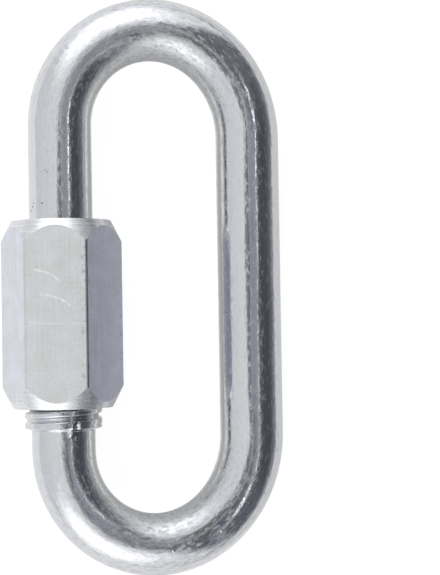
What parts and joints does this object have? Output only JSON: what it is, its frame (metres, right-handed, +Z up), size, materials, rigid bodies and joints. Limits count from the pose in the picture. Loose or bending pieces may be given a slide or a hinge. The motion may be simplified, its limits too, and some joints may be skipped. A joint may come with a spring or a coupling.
{
  "type": "chain quick link",
  "caption": "Long oval link of bent round bar with a gap in one leg, closed by a long hexagon sleeve nut that runs along the threaded bar ends.",
  "frame": {"origin": "the middle of the footprint, on the surface that the link lies on", "axes": "+Y along the link and the nut's thread axis, from the exposed lower thread to the end that the nut opens towards; +X across the link from the nut's leg to the plain leg; +Z up"},
  "size_m": [0.0265, 0.0548, 0.01],
  "materials": {
    "bar_zinc": "bright zinc plate over drawn round bar, smooth and reflective, with fine draw lines, small nicks and a burr below the thread",
    "nut_zinc": "satin zinc plate over hexagon bar, with fine lengthwise lines on the flats, turning rings on the end cones and light scratches"
  },
  "bodies": {
    "link": {"link_body": "bar_zinc"},
    "nut": {"sleeve_nut": "nut_zinc"}
  },
  "joints": [
    {"name": "nut_travel", "type": "slide", "parent": "link", "child": "nut", "axis": [0, 1, 0], "range_m": [-0.001, 0.01]}
  ]
}
